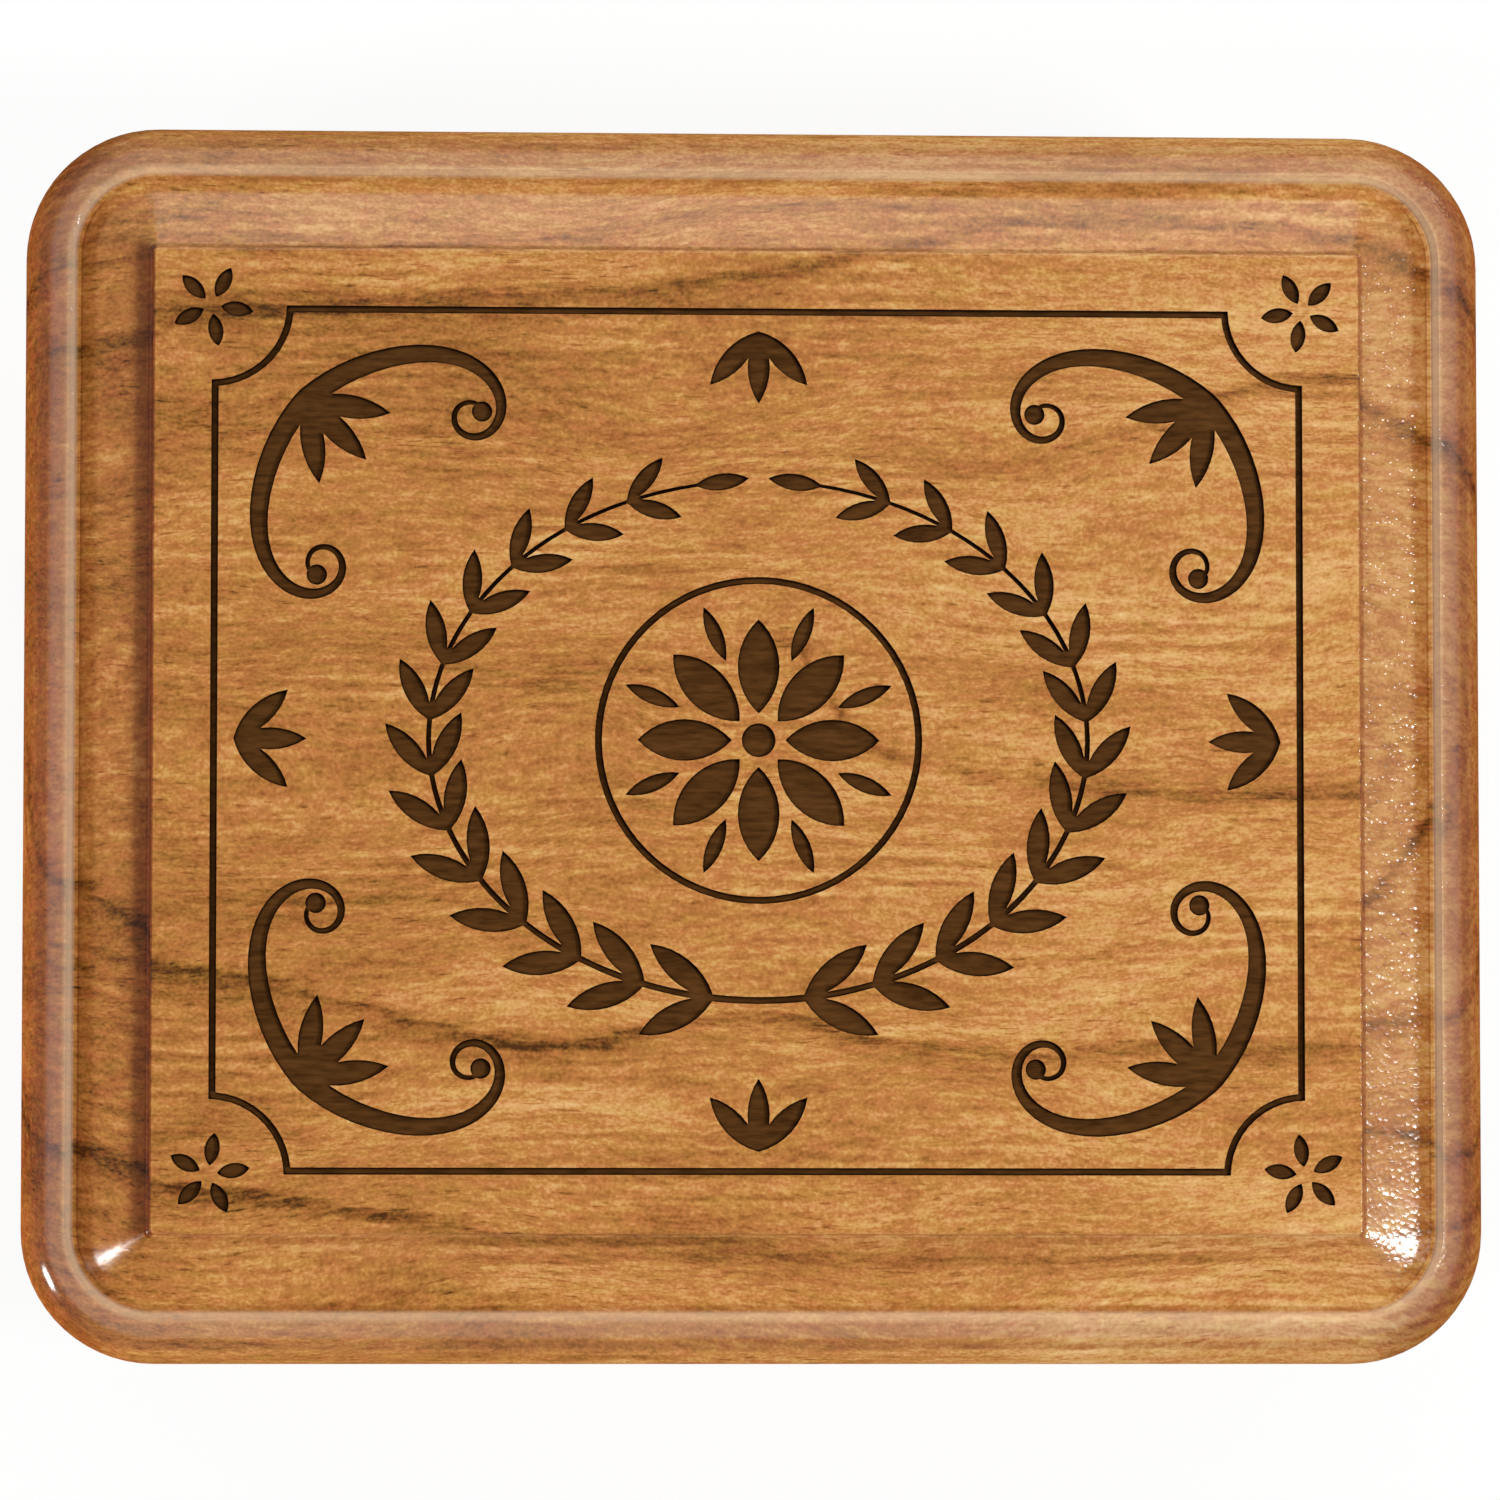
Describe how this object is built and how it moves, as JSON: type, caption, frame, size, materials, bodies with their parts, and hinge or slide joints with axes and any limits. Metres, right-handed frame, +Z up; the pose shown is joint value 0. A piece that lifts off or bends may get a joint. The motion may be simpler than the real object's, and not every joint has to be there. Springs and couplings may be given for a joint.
{
  "type": "keepsake box",
  "caption": "Hinged wooden keepsake box with mitred walls, a felt-lined inside, and an overhanging lid with a moulded edge and an engraved raised panel.",
  "frame": {"origin": "middle of the footprint, on the surface that the feet stand on", "axes": "+X along the long side, to the right seen from the front; +Y towards the hinged back; +Z up"},
  "size_m": [0.165, 0.1396, 0.0635],
  "materials": {
    "lid_wood": "solid cherry, clear satin lacquer, engraved panel",
    "wall_wood": "solid cherry, clear satin lacquer",
    "spline_wood": "bare beech",
    "bottom_plywood": "sanded birch plywood",
    "felt_lining": "pressed wool felt, dark green",
    "felt_dots": "pressed felt, dark brown",
    "hinge_brass": "rolled brass, lightly brushed",
    "screw_brass": "turned brass"
  },
  "bodies": {
    "box": {"front_wall": "wall_wood", "back_wall": "wall_wood", "left_wall": "wall_wood", "right_wall": "wall_wood", "bottom_panel": "bottom_plywood", "bottom_felt": "felt_lining", "front_left_spline": "spline_wood", "front_right_spline": "spline_wood", "back_left_spline": "spline_wood", "back_right_spline": "spline_wood", "front_left_foot": "felt_dots", "front_right_foot": "felt_dots", "back_left_foot": "felt_dots", "back_right_foot": "felt_dots", "left_closing_pad": "felt_dots", "right_closing_pad": "felt_dots", "left_hinge_base_leaf": "hinge_brass", "right_hinge_base_leaf": "hinge_brass", "left_hinge_pin": "hinge_brass", "right_hinge_pin": "hinge_brass", "left_hinge_base_screws": "screw_brass", "right_hinge_base_screws": "screw_brass"},
    "lid": {"lid_board": "lid_wood", "lid_felt": "felt_lining", "left_hinge_lid_leaf": "hinge_brass", "right_hinge_lid_leaf": "hinge_brass", "left_hinge_lid_screws": "screw_brass", "right_hinge_lid_screws": "screw_brass"}
  },
  "joints": [
    {"name": "lid_hinge", "type": "hinge", "parent": "box", "child": "lid", "pos_m": [0, 0.06615, 0.0503], "axis": [-1, 0, 0], "range_deg": [0, 105]}
  ]
}
